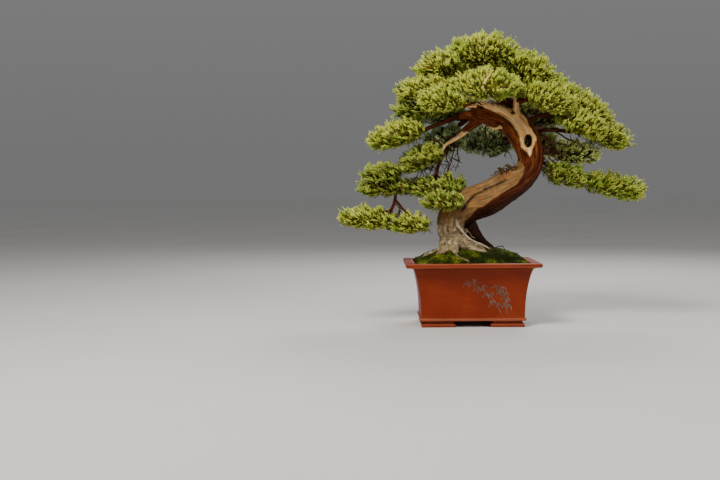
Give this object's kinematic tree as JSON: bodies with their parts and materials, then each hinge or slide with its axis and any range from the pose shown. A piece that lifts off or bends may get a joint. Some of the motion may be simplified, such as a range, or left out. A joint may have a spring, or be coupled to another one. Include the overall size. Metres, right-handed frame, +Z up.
{
  "type": "sierra juniper bonsai",
  "caption": "Sierra juniper bonsai with a leaning, hollowed trunk, dead wood and layered foliage pads, in a rectangular footed clay pot.",
  "frame": {"origin": "bottom centre of the box round the whole tree and pot, on the plane of the pot's feet", "axes": "+X to the viewer's right along the pot, +Y to the back of the tree, +Z up"},
  "size_m": [0.9376, 0.4702, 0.8886],
  "materials": {
    "clay": "unglazed orange-red clay, fine and slightly polished",
    "bark": "flaking red-brown bark with bare, weathered dead wood",
    "soil": "moist grit",
    "moss": "soft, dull",
    "screen": "matt moulded mesh",
    "foliage_bright": "satin scale leaves, lit",
    "foliage_middle": "satin scale leaves",
    "foliage_shaded": "satin scale leaves, shaded"
  },
  "bodies": {
    "root": {"pot": "clay", "soil": "soil", "moss": "moss", "drain_screen_left": "screen", "drain_screen_right": "screen", "trunk": "bark", "foliage_apex": "foliage_bright", "foliage_crown_left": "foliage_bright", "foliage_crown_right": "foliage_bright", "foliage_crown_front": "foliage_bright", "foliage_crown_front_right": "foliage_bright", "foliage_crown_inner": "foliage_bright", "foliage_crown_back": "foliage_middle", "foliage_left_high": "foliage_bright", "foliage_left_front": "foliage_bright", "foliage_left_middle": "foliage_middle", "foliage_left_long": "foliage_bright", "foliage_left_back": "foliage_shaded", "foliage_inner_left": "foliage_shaded", "foliage_inner_back": "foliage_shaded", "foliage_right_high": "foliage_bright", "foliage_right_shoulder": "foliage_bright", "foliage_right_front": "foliage_bright", "foliage_right_back": "foliage_shaded", "foliage_right_long": "foliage_bright", "foliage_right_inner": "foliage_shaded", "foliage_right_low_back": "foliage_shaded", "foliage_right_low_inner": "foliage_middle", "foliage_right_low_tip": "foliage_bright", "foliage_left_lower": "foliage_middle", "foliage_left_lower_tip": "foliage_middle", "foliage_left_low": "foliage_middle", "foliage_low_middle": "foliage_middle", "foliage_low_front": "foliage_middle", "foliage_bottom_left": "foliage_bright", "foliage_bottom_inner": "foliage_bright"}
  },
  "joints": []
}
